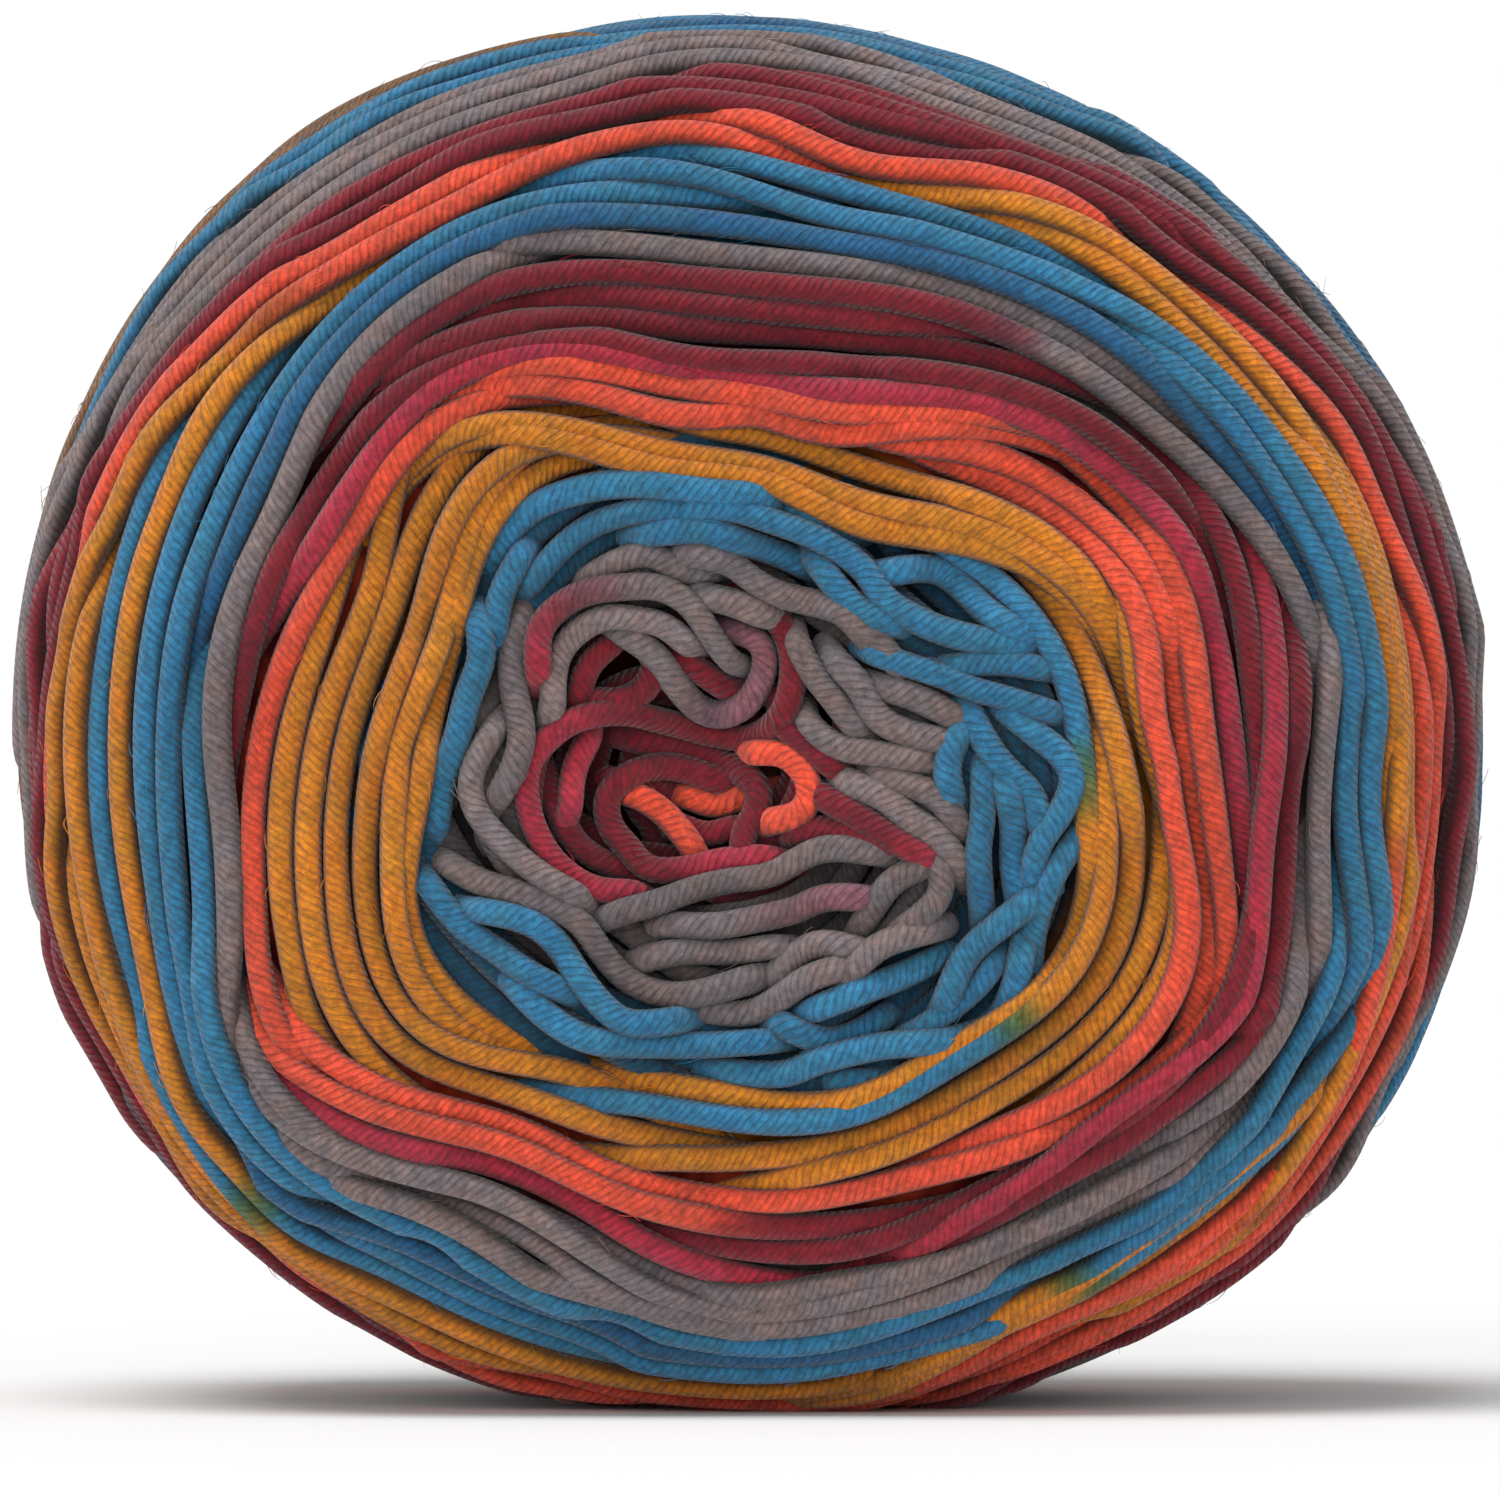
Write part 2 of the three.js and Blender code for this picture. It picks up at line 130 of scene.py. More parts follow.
# The loosened turns at the core, lowest first: their colour, or the colours of both ends, and the route as
# distances right of the core's middle and above it.
LOOSE_TURNS = [
    ("crimson", [(-7.5, 0), (-4, -1), (-0.5, -1), (3, -1)]),
    ("crimson", [(-2, -5), (1.5, -6.5), (4, -5.5)]),
    ("orange", [(-0.5, -2), (2, -3), (4, -2.5), (6, -1.5)]),
    ("orange", [(-7, -2), (-4.5, -4), (-2.5, -6), (-0.5, -8)]),
    ("crimson", [(11, -5.5), (14.5, -5), (17.5, -5.5), (21, -6.5)]),
    ("crimson", [(-6.5, 4.5), (-2, 4), (2, 2.5), (6, 1), (8, -1), (7.5, -4), (6, -6.5),
     (5.5, -9)]),
    ("crimson to rose", [(3.5, 0), (-0.5, 1.5), (-4.5, 2), (-8, 1), (-10, -1.5), (-9.5, -5), (-7.5, -7.5),
     (-5.5, -10), (-1.5, -10.5), (3.5, -9.5), (9, -8.5)]),
    ("rose", [(-11, 4.5), (-13, 1), (-13.5, -3)]),
    ("crimson", [(-8.5, 14), (-11, 12), (-12, 8.5)]),
    ("crimson", [(-4.5, 12.5), (-6, 10), (-9, 9)]),
    ("crimson", [(-1, 13), (1.5, 11.5), (4, 10)]),
    ("crimson to rose", [(4.5, 19), (8, 17), (10, 14), (10.5, 11), (10, 7.5), (6.5, 5), (2, 5.5), (-3, 7),
     (-7.5, 8), (-12.5, 7), (-15.5, 4.5), (-17.5, 1.5), (-17.5, -2.5), (-16, -6.5), (-13.5, -9.5),
     (-10, -11.5), (-6.5, -12)]),
    ("crimson", [(10, 6.5), (12.5, 4), (15, 1.5)]),
    ("crimson to rose", [(13, -1), (17, -3.5), (20.5, -6), (24, -8)]),
    ("orange", [(7.5, 3.5), (10, 3.5), (12.5, 1), (13, -1.5), (11.5, -4), (9, -4.5)]),
    ("grey", [(17.5, 16.5), (18.5, 14.5), (20.5, 12)]),
    ("grey", [(-10, 21), (-7.5, 22.5), (-4, 23), (-1.5, 21.5), (1.5, 21.5)]),
    ("grey", [(1.5, 19), (4, 18.5), (6.5, 17.5)]),
    ("grey", [(19.5, 9.5), (22.5, 8.5), (27, 6)]),
    ("grey", [(14.5, 12.5), (17, 10), (18.5, 7), (21.5, 5), (26, 4)]),
    ("grey", [(11, 14), (12.5, 11.5), (14.5, 9), (17, 5.5)]),
    ("grey", [(12.5, 6.5), (15, 4), (18.5, 3), (24, 2)]),
    ("grey", [(-0.5, 23), (3, 22.5), (6, 20.5), (9, 19), (13, 18), (15.5, 17), (17.5, 14.5)]),
    ("grey", [(19, 0.5), (22.5, -0.5), (25, -2), (26.5, -4.5)]),
    ("grey", [(16, 0), (19.5, -1.5), (22, -4), (24.5, -5.5), (26.5, -8.5)]),
    ("grey", [(17, -14.5), (19, -11.5), (21, -9.5), (23.5, -8.5)]),
    ("grey", [(21.5, -14.5), (23.5, -13), (25, -10.5), (24.5, -8)]),
    ("grey", [(15.5, -19.5), (17.5, -17.5), (20, -16), (23.5, -15)]),
    ("grey", [(8.5, -19.5), (10.5, -17.5), (13.5, -16.5), (16, -17)]),
    ("grey", [(-4.5, -18), (-0.5, -17.5), (4, -17.5), (8, -17)]),
    ("grey to mauve", [(-3.5, -15), (1.5, -15.5), (5.5, -15), (10.5, -13.5), (13.5, -12), (17, -12)]),
    ("grey", [(-8.5, -14), (-4.5, -13.5), (-0.5, -12.5), (4, -11.5), (8.5, -10.5), (11.5, -8.5),
     (15, -7), (20, -7.5)]),
    ("grey", [(0.5, -23), (5, -23.5), (8.5, -22), (11.5, -20), (14.5, -19)]),
    ("grey", [(-20, -1), (-18.5, 2.5), (-18, 6), (-18.5, 9.5), (-18.5, 13), (-17.5, 16.5)]),
    ("grey", [(-20.5, 5), (-22.5, 1.5), (-22.5, -2.5), (-20, -6), (-17.5, -8.5), (-15, -10.5),
     (-12.5, -12)]),
    ("grey", [(-24.5, -8.5), (-22, -10), (-19, -11), (-15.5, -12.5), (-12, -14.5), (-9.5, -17.5),
     (-7, -20), (-3.5, -21.5), (1, -21.5), (6, -20)]),
    ("mauve to grey", [(3.5, 15.5), (6, 15), (7.5, 13), (6.5, 9.5), (3.5, 8), (0.5, 8.5), (-2, 11),
     (-4.5, 14), (-7.5, 15.5)]),
    ("grey", [(-15, 7.5), (-14.5, 11.5), (-13, 14.5), (-9.5, 17), (-6, 17), (-3, 16.5), (-1, 15)]),
    ("rose to grey", [(-16, 11.5), (-16, 15), (-13.5, 18), (-10.5, 19.5), (-6.5, 20), (-3.5, 20),
     (-0.5, 18.5), (1.5, 16), (4, 13)]),
    ("blue", [(8, 30.5), (9.5, 28.5), (12, 26.5), (15.5, 25.5)]),
    ("blue", [(-5, 25), (-0.5, 25.5), (4, 24.5), (8.5, 23), (11.5, 21.5)]),
    ("blue", [(12.5, 22), (15, 19), (17.5, 17), (20, 16)]),
    ("blue", [(-16.5, 20), (-14, 23), (-11, 25.5), (-7, 27), (-2, 27.5), (4, 27.5), (8, 28.5)]),
    ("blue", [(-21, 21.5), (-18.5, 25.5), (-15.5, 28), (-11, 29.5), (-6.5, 30), (-1, 29.5),
     (3.5, 29), (7.5, 29)]),
    ("blue", [(-20, 15.5), (-19.5, 19), (-17.5, 22.5)]),
    ("blue", [(18.5, 13), (22.5, 11.5), (25.5, 10.5)]),
    ("blue", [(-2.5, 27), (3, 27.5), (8.5, 26), (12.5, 24.5), (17, 21.5), (19, 18.5), (22, 16.5),
     (25.5, 15), (30, 14), (34, 13.5)]),
    ("blue", [(19.5, 21), (23.5, 21.5), (26.5, 20), (29.5, 17), (33, 15), (36, 14)]),
    ("blue", [(27, 5), (25.5, 2), (26, -1)]),
    ("blue", [(27.5, 7.5), (29.5, 3.5), (32, 0.5), (34, -1.5), (34.5, -4)]),
    ("blue", [(31, 0.5), (32, -4), (32, -8.5), (32.5, -11.5)]),
    ("blue", [(31.5, 7), (34, 5), (37, 2.5), (38, 0), (36.5, -3.5), (34.5, -6.5), (34, -9.5)]),
    ("blue", [(24.5, 11), (27.5, 9.5), (31, 8.5), (35.5, 7)]),
    ("blue", [(25, 11.5), (30, 12), (34, 11.5), (37.5, 10.5), (39.5, 7), (39, 2.5)]),
    ("blue", [(29, 2), (29, -3.5), (28.5, -7.5), (29, -13.5)]),
    ("blue", [(33.5, -22), (34, -15.5), (35.5, -10.5), (37.5, -7), (40.5, -3)]),
    ("blue", [(9, -24.5), (12.5, -26), (16, -25.5), (18.5, -24)]),
    ("blue", [(12, -23), (17, -21), (21, -19.5), (25, -17.5)]),
    ("blue", [(22.5, -25), (25.5, -23), (28.5, -20.5), (30, -18.5)]),
    ("blue", [(-18, -20.5), (-15, -23.5), (-10.5, -26), (-4.5, -26.5), (2, -26.5), (8.5, -26)]),
    ("blue", [(-27, -10), (-24, -14), (-20, -17), (-16.5, -19.5), (-12.5, -21.5)]),
    ("blue", [(-22, 16.5), (-21.5, 13), (-23, 8.5), (-24, 4.5), (-25.5, 0), (-26, -4)]),
    ("blue", [(-22, -13), (-17.5, -14), (-14, -16.5), (-12, -19.5), (-9, -23), (-6, -24.5),
     (-1.5, -24)]),
    ("blue", [(14.5, -30), (19, -30), (24.5, -29), (30, -27), (33.5, -24.5)]),
    ("blue", [(2.5, -29), (8.5, -29.5), (12.5, -28), (19, -26.5), (25.5, -26), (30, -24.5),
     (32, -21), (33, -16.5)]),
    ("blue", [(25.5, -21.5), (27, -18), (30.5, -14.5), (34.5, -11.5)]),
]


# The camera looks straight on, level with the middle of the photograph
CAMERA_AWAY = 1500
CAMERA_HEIGHT = 65.7
PHOTO_WIDTH = 151.35  # what the photograph spans at the cake's waist
NEARNESS = 1 - HALF / CAMERA_AWAY  # the front face is nearer than the waist, so it looks larger than it is


# Chart of the surface: every place on the cake is an angle round the core and a distance along the meridian,
# from the middle of the front face, over the wall, to the middle of the back face.
INSET = 2.3  # the middles of the outermost strands lie this far inside the outline
RIM = 0.992  # share of the outline at which the faces' turns end
FACE_SHARE = 0.95  # share of the outline's radius that is worked out by radius; the wall goes by angle
STEPS = 720  # steps of angle round the core
SHARES = 600  # steps along the meridian
STEP = TURN / STEPS
ANGLE = np.arange(STEPS) * STEP


def smooth_between(a, b, c, d, t):
    """The smooth curve from b to c through four values in a row, at a share t of the way."""
    return b + 0.5 * t * (c - a + t * (2 * a - 5 * b + 4 * c - d + t * (3 * (b - c) + d - a)))


def round_the_clock(values):
    """A smooth closed curve through twelve hourly values, at every step of angle."""
    hour = (3 - ANGLE / TURN * 12) % 12
    i = np.floor(hour).astype(int)
    t = hour - i
    a, b, c, d = (np.array(values, float)[(i + k) % 12] for k in (-1, 0, 1, 2))
    return smooth_between(a, b, c, d, t)


def hollow(sink, r):
    """Depth of a hollow in a face, at a radius from the core."""
    depth, radius = sink
    return depth * np.exp(-((r / radius) ** 2))


def make_chart():
    """Radius and depth of the surface at each angle and each share of the way along the meridian."""
    rho_face = np.linspace(0, FACE_SHARE, 240)
    face = np.arcsin(rho_face ** (ROUND_RHO / 2))
    wall = np.linspace(face[-1], math.pi - face[-1], 200)[1:-1]
    turn = np.concatenate([face, wall, math.pi - face[::-1]])
    rho = np.sin(turn) ** (2 / ROUND_RHO)
    side = np.cos(turn)
    flat_y = -HALF * np.sign(side) * np.abs(side) ** (2 / ROUND_Y)
    share = np.linspace(0, 1, SHARES)
    radius, depth, length = np.empty((STEPS, SHARES)), np.empty((STEPS, SHARES)), np.empty(STEPS)
    for step, edge in enumerate(round_the_clock(OUTLINE) - INSET):
        r = rho * edge
        y = flat_y + np.where(side > 0, hollow(FRONT_SINK, r), -hollow(BACK_SINK, r))
        along = np.concatenate([[0], np.cumsum(np.hypot(np.diff(r), np.diff(y)))])
        length[step] = along[-1]
        radius[step] = np.interp(share * along[-1], along, r)
        depth[step] = np.interp(share * along[-1], along, y)
    return radius, depth, length


CHART_R, CHART_Y, LENGTH = make_chart()
SLOPE_R, SLOPE_Y = np.gradient(CHART_R, axis=1), np.gradient(CHART_Y, axis=1)


def on_chart(angle, along):
    """The points of the surface, and the directions out of it, at these angles and distances along."""
    col = angle / STEP % STEPS
    i = np.floor(col).astype(int) % STEPS
    j = (i + 1) % STEPS
    s = (col - np.floor(col))
    row = np.clip(along / (LENGTH[i] * (1 - s) + LENGTH[j] * s), 0, 1) * (SHARES - 1)
    k = np.minimum(row.astype(int), SHARES - 2)
    t = row - k

    def read(grid):
        return ((grid[i, k] * (1 - t) + grid[i, k + 1] * t) * (1 - s)
                + (grid[j, k] * (1 - t) + grid[j, k + 1] * t) * s)

    r, y, slope_r, slope_y = read(CHART_R), read(CHART_Y), read(SLOPE_R), read(SLOPE_Y)
    size = np.hypot(slope_r, slope_y)
    out_r, out_y = slope_y / size, -slope_r / size
    points = np.stack([r * np.cos(angle), y, r * np.sin(angle)], axis=1)
    normals = np.stack([out_r * np.cos(angle), out_y, out_r * np.sin(angle)], axis=1)
    return points, normals


HALF_WAY = SHARES // 2
TO_HALF_WAY = np.linspace(0, 1, SHARES)[:HALF_WAY]


def along_at_radius(radius, from_back=False):
    """Distance along the meridian from the middle of the front face, or of the back face, at which each
    angle's radius is reached. No farther than the rim, where the wall takes over."""
    radii = CHART_R[:, ::-1] if from_back else CHART_R
    rim = RIM * (round_the_clock(OUTLINE) - INSET)
    reached = np.minimum(radius, rim)
    return np.array([np.interp(reached[i], radii[i, :HALF_WAY], LENGTH[i] * TO_HALF_WAY)
                     for i in range(STEPS)])


# Smooth noise and smoothing
def blur(values, sigma, closed=False):
    """Gaussian smoothing over an array, with its ends held or joined."""
    reach = max(1, int(3 * sigma))
    kernel = np.exp(-0.5 * (np.arange(-reach, reach + 1) / sigma) ** 2)
    kernel /= kernel.sum()
    padded = np.pad(values, reach, mode="wrap" if closed else "edge")
    return np.convolve(padded, kernel, mode="valid")


def wave(count, spacing):
    """Smooth noise of about unit size, with one bump each spacing points."""
    knots = rng.normal(size=int(count / spacing) + 4)
    straight = np.interp(np.arange(count), np.arange(len(knots)) * spacing, knots)
    return blur(straight, spacing / 3) * 1.2


# Laying the yarn
laid_points = np.empty((0, 3))
laid_lifts = np.empty(0)
SPACING = 1.25  # distance between two sections of a strand
MOST_LIFT = 1.4 * YARN  # how far crossing strands may pile up
RIM_LIFT = 0.5 * YARN  # the same at the rim, where the winding is tight
SQUASH = 0.08 * YARN  # how far two strands that cross press into each other
BRIDGE = 2.0  # sections over which a strand bridges what it crosses
BRIDGE_END = 0.8  # sections over which its last kinks are eased
UNEVEN_LIFT = 0.25  # how far a strand strays up and down


def linear(colour):
    """The shader's value of an sRGB colour."""
    srgb = np.array(colour) / 255
    return np.where(srgb < 0.04045, srgb / 12.92, ((srgb + 0.055) / 1.055) ** 2.4)


def resample(path, spacing):
    """Rows at even steps along a path, whose place is in the first three columns."""
    length = np.concatenate([[0], np.cumsum(np.linalg.norm(np.diff(path[:, :3], axis=0), axis=1))])
    steps = max(4, int(round(length[-1] / spacing)))
    even = np.linspace(0, length[-1], steps + 1)
    return np.stack([np.interp(even, length, column) for column in path.T], axis=1)


def settle(base, floor, drop, most):
    """Lift of each point of a new strand above the surface, so that it lies on the strands already there."""
    global laid_points, laid_lifts
    lift = floor.copy()
    chunk = 24  # points that are tested together
    for start in range(0, len(base), chunk):
        part = base[start:start + chunk]
        near = np.all((laid_points > part.min(0) - CONTACT) & (laid_points < part.max(0) + CONTACT), axis=1)
        if not near.any():
            continue
        apart = np.linalg.norm(part[:, None] - laid_points[near][None], axis=2)
        over = np.sqrt(np.maximum(CONTACT ** 2 - apart ** 2, 0))
        rest = np.where(apart < CONTACT, laid_lifts[near] + over, -np.inf).max(axis=1)
        lift[start:start + chunk] = np.maximum(lift[start:start + chunk], rest)
    held = np.maximum(lift, blur(lift, BRIDGE))
    clear = np.maximum(blur(held, BRIDGE), lift - SQUASH)
    lift = np.minimum(blur(clear, BRIDGE_END), floor + most)
    lift -= drop
    laid_points = np.concatenate([laid_points, base])
    laid_lifts = np.concatenate([laid_lifts, lift])
    return lift


def dive_ends(count, reach, depth):
    """Depth of the dive at each of count points: none in the middle, all of it at each end."""
    from_end = np.minimum(np.arange(count), np.arange(count)[::-1]) / reach
    return depth * (1 - ease(from_end))


def strand_from_chart(angle, along, colour, floor, drop, side_by_side=False, most=MOST_LIFT):
    """Lays a strand along a route on the chart and returns it ready to be made into a tube.
    floor is the lowest lift it may have, drop is how far it is pulled under the strands round it, and most
    is how far it may ride up. Strands laid side by side stay at the floor and don't ride over each other."""
    base, normal = on_chart(angle, along)
    size = len(base)
    extra = np.stack([np.broadcast_to(floor, size), drop], axis=1)
    rows = resample(np.hstack([base, normal, extra]), SPACING)
    base, normal, ground, drop = rows[:, :3], rows[:, 3:6], rows[:, 6], rows[:, 7]
    normal /= np.linalg.norm(normal, axis=1)[:, None]
    count = len(base)
    ground = ground + UNEVEN_LIFT * wave(count, 9)
    lift = ground - drop if side_by_side else settle(base, ground, drop, most)
    return {"middle": base + normal * lift[:, None], "normal": normal, "colour": colour(count)}


LIGHTER_OR_DARKER = 0.08  # how far a strand differs from the next
FADING = 0.05  # how far a strand's shade varies along it
FADING_SECTIONS = 14
BLEND_CENTRE = (0.3, 0.7)  # share of the way along a strand
BLEND_WIDTH = (6, 14)  # in mm


def plain(colour):
    """The same colour all along, a little lighter or darker than the next strand."""
    shift = rng.normal(0, LIGHTER_OR_DARKER)

    def paint(count):
        return linear(COLOURS[colour]) * (1 + shift + FADING * wave(count, FADING_SECTIONS))[:, None]
    return paint


def blend_yarn(first, second):
    """A strand on which one colour of the yarn gives way to the next."""
    shift = rng.normal(0, 0.75 * LIGHTER_OR_DARKER)
    centre, width = rng.uniform(*BLEND_CENTRE), rng.uniform(*BLEND_WIDTH)

    def paint(count):
        t = np.clip((np.linspace(0, 1, count) - centre) * count * SPACING / width + 0.5, 0, 1)[:, None]
        mixed = linear(COLOURS[first]) ** (1 - t) * linear(COLOURS[second]) ** t  # as two dyes mix
        mixed *= 1 - 1.2 * t * (1 - t)  # both dyes lie on the wool here, so it is darker
        return mixed * (1 + shift + FADING * wave(count, FADING_SECTIONS))[:, None]
    return paint


def reach_of(need, start, direction, most, least_need):
    """Steps from the start for which the band is bare enough, in one direction."""
    steps = 0
    while steps < most and need[(start + direction * (steps + 1)) % STEPS] > least_need:
        steps += 1
    return steps


def ease(t):
    """A smooth step from 0 to 1."""
    t = np.clip(t, 0, 1)
    return t * t * (3 - 2 * t)


LEAST_NEED = 0.8 * PITCH  # a turn is laid where at least this much of its band is still bare
END_NEED = 0.45 * PITCH  # and goes on for as long as this much is
TAPER = 22  # length over which a turn's end slides under the next turns
LONGEST_TAPER = 84  # the same in steps of angle, near the core
TIP = 3.5  # length over which its tip goes on down
SHORTEST = 12  # a turn shows at least this length, in steps of angle
LEAST_CLEAR = 0.35 * PITCH  # least that a turn's middle lies beyond the turns inside it
WIDEST_GAP = 0.7 * PITCH  # most that a turn's middle may lie beyond the turns inside it
MOST_VEER = 1.5 * PITCH  # most that its end turns outwards, under the next turns
WANDER_LENGTH = 26  # length over which it strays to one side
STIFFNESS = 2.6  # length over which it bends no further
RIM_ALONG = 75  # distance from the face's middle to the rim, along the surface
LEAST_RADIUS = 12  # turns nearer the core than this bend as freely as here
FRONT_SMOOTH = 12  # steps of angle over which the edge reached so far is looked at
VALLEY_PULL = 2  # how much sooner a dent in that edge is filled
DIP = (0.6, 1.2)  # how deep a turn dips across its neighbours, in strands
DIP_LENGTH = (25, 45)  # steps of angle that the dip takes
BLEND_UNTIL = 0.45  # share of a band in which the last band's colour still turns up
BLEND_CHANCE = 0.3
OWN_CHANCE = 0.75  # share of the turns that have the band's own colour


def fill_band(front, target, band, before, to_chart, floor=0.0):
    """Arcs of yarn laid side by side, from the present front out to the target, at every angle.
    to_chart turns a distance from the face's middle into a distance along the chart."""
    strands = []
    first_front = front.copy()
    while True:
        need = target - front
        valley = blur(front, FRONT_SMOOTH, True) - front
        luck = blur(rng.normal(size=STEPS), FRONT_SMOOTH, True)
        worth = need * (1 + 1.2 * luck) + VALLEY_PULL * valley
        worth[need < LEAST_NEED] = -1
        start = int(np.argmax(worth))
        if worth[start] <= 0:
            return strands
        low, high = band["reach"]
        back = reach_of(need, start, -1, int(rng.uniform(low, high) * 2), END_NEED)
        ahead = reach_of(need, start, 1, int(rng.uniform(low, high) * 2), END_NEED)
        if back + ahead < SHORTEST:
            front[np.arange(start - back, start + ahead + 1) % STEPS] += 0.5 * PITCH
            continue
        taper = min(int(TAPER / (front[start] * STEP)), LONGEST_TAPER)
        span = np.arange(start - back - taper, start + ahead + taper + 1)
        from_end = np.minimum(np.arange(len(span)), np.arange(len(span))[::-1])
        shown = ease(from_end / taper)
        steps_per_mm = 1 / (max(front[start], LEAST_RADIUS) * STEP)
        taut = blur(front, band["taut"] * steps_per_mm, True)[span % STEPS]
        slip = band["slip"] * rng.normal() * PITCH * np.linspace(-0.5, 0.5, len(span))
        along = np.maximum(taut + 0.5 * PITCH + slip, taut + LEAST_CLEAR)
        along += band["wander"] * wave(len(span), WANDER_LENGTH * steps_per_mm)
        along = blur(np.minimum(along, front[span % STEPS] + WIDEST_GAP), STIFFNESS * steps_per_mm)
        if rng.random() < band["cross"]:
            across = (from_end / len(span) - rng.uniform(0.25, 0.5)) * len(span) / rng.uniform(*DIP_LENGTH)
            along -= rng.uniform(*DIP) * PITCH * np.exp(-across ** 2)
        veer = np.where(np.arange(len(span)) < len(span) / 2, *rng.uniform(0, MOST_VEER, 2))
        edge = along + 0.5 * PITCH
        rise = np.clip(edge - front[span % STEPS], 0, 1.1 * PITCH) * shown
        front[span % STEPS] += rise
        middle = start % STEPS
        progress = (front[middle] - first_front[middle]) / max(target[middle] - first_front[middle], PITCH)
        if before and progress < BLEND_UNTIL and rng.random() < BLEND_CHANCE:
            ends = (before, band["yarn"]) if rng.random() < 0.5 else (band["yarn"], before)
            paint = blend_yarn(*ends)
        else:
            paint = plain(band["yarn"] if rng.random() < OWN_CHANCE else band["shade"])
        drop = YARN * (1 - shown) + 0.8 * YARN * (1 - ease(from_end / (TIP / (front[start] * STEP))))
        along = along + veer * (1 - shown)
        rimward = min(front[start] / RIM_ALONG, 1) ** 2
        most = MOST_LIFT + (RIM_LIFT - MOST_LIFT) * rimward
        route = to_chart(along, span)
        strands.append(strand_from_chart(span * STEP, route, paint, floor, drop, most=most))


def cross_wound(front_edge, back_edge, sign, lift_at, paint, cover):
    """Strands that cross the wall from one face's edge to the other's, side by side round the cake, and slide
    under the turns of both faces."""
    strands = []
    points = 200  # along each strand
    for n in range(WALL_COUNT):
        middle = (n + 0.05 * rng.normal()) * TURN / WALL_COUNT
        if not cover(middle):
            continue
        across = np.linspace(0, 1, points)
        angle = middle + sign * WALL_SWEEP * (across - 0.5) + 0.003 * wave(points, 50)
        step = (angle / STEP).astype(int) % STEPS
        along = front_edge[step] + across * (back_edge[step] - front_edge[step])
        tint = paint(middle - sign * 0.4 * WALL_SWEEP)  # where it shows past the front face
        lift = lift_at(angle - WALL_SWEEP * (across - 0.5))
        dive = dive_ends(points, 20, 1.3 * YARN)
        strands.append(strand_from_chart(angle, along, tint, lift, dive, side_by_side=True))
    return strands


# Tubes
PLY_DRIFT = 0.4  # how unevenly the plies lie along a strand
THICK_AND_THIN = 0.05  # how far a strand's thickness varies
FLATTENED = 0.94  # a strand's height against its width
TIP_WIDTH = 0.6  # width of its ends against the rest


def finer(strand, spacing):
    """The same strand with its sections closer together."""
    rows = resample(np.hstack([strand["middle"], strand["normal"], strand["colour"]]), spacing)
    sigma = 0.6 * SPACING / spacing
    ends = rows[[0, -1]]
    rows = np.stack([blur(column, sigma) for column in rows.T], axis=1)
    rows[[0, -1]] = ends
    return {"middle": rows[:, :3], "normal": rows[:, 3:6], "colour": rows[:, 6:]}


def tube_mesh(name, strands, sides=8, spacing=SPACING):
    """One mesh of closed tubes, with the yarn's colour on its points and, as UV, the distance along a strand
    and the turn round it."""
    points, colours, faces, uvs = [], [], [], []
    turn = np.arange(sides) / sides
    ring = np.arange(sides)
    first = 0
    for strand in strands:
        if spacing < SPACING:
            strand = finer(strand, spacing)
        middle = strand["middle"]
        count = len(middle)
        ahead = np.gradient(middle, axis=0)
        ahead /= np.linalg.norm(ahead, axis=1)[:, None]
        up = strand["normal"] - ahead * np.sum(strand["normal"] * ahead, axis=1)[:, None]
        up /= np.linalg.norm(up, axis=1)[:, None]
        across = np.cross(ahead, up)
        length = np.concatenate([[0], np.cumsum(np.linalg.norm(np.diff(middle, axis=0), axis=1))])
        length += rng.uniform(0, LAY) + PLY_DRIFT * wave(count, 9 / spacing)
        thick = RADIUS * (1 + THICK_AND_THIN * wave(count, 10 / spacing))[:, None]
        thick[[0, -1]] *= TIP_WIDTH
        a = TURN * turn
        rings = middle[:, None] + thick[:, :, None] * (
            across[:, None] * np.cos(a)[None, :, None] + FLATTENED * up[:, None] * np.sin(a)[None, :, None])
        points.append(rings.reshape(-1, 3))
        points.append(middle[[0, -1]])
        colours.append(np.repeat(strand["colour"], sides, axis=0))
        colours.append(strand["colour"][[0, -1]])
        row = np.arange(count - 1)[:, None]
        here, there = row * sides + ring, row * sides + (ring + 1) % sides
        quads = np.stack([here, there, there + sides, here + sides], axis=2).reshape(-1, 4) + first
        u0, u1 = np.repeat(length[:-1], sides), np.repeat(length[1:], sides)
        v0, v1 = np.tile(turn, count - 1), np.tile(turn + 1 / sides, count - 1)
        corners = [np.stack(corner, 1) for corner in ((u0, v0), (u0, v1), (u1, v1), (u1, v0))]
        head, tail = first + count * sides, first + count * sides + 1
        last = first + (count - 1) * sides
        cap_a = np.stack([first + (ring + 1) % sides, first + ring, np.full(sides, head)], 1)
        cap_b = np.stack([last + ring, last + (ring + 1) % sides, np.full(sides, tail)], 1)
        faces.append((quads, np.concatenate([cap_a, cap_b])))
        cap_uv = np.stack([np.full(sides * 6, length[0]), np.tile(np.repeat(turn, 3), 2)], 1)
        uvs.append((np.stack(corners, 1).reshape(-1, 2), cap_uv))
        first += count * sides + 2
    points = to_metres(np.concatenate(points))
    quads = np.concatenate([f[0] for f in faces])
    caps = np.concatenate([f[1] for f in faces])
    uv = np.concatenate([u[0] for u in uvs] + [u[1] for u in uvs])
    return fill_mesh(name, points, quads, caps, uv, np.concatenate(colours))


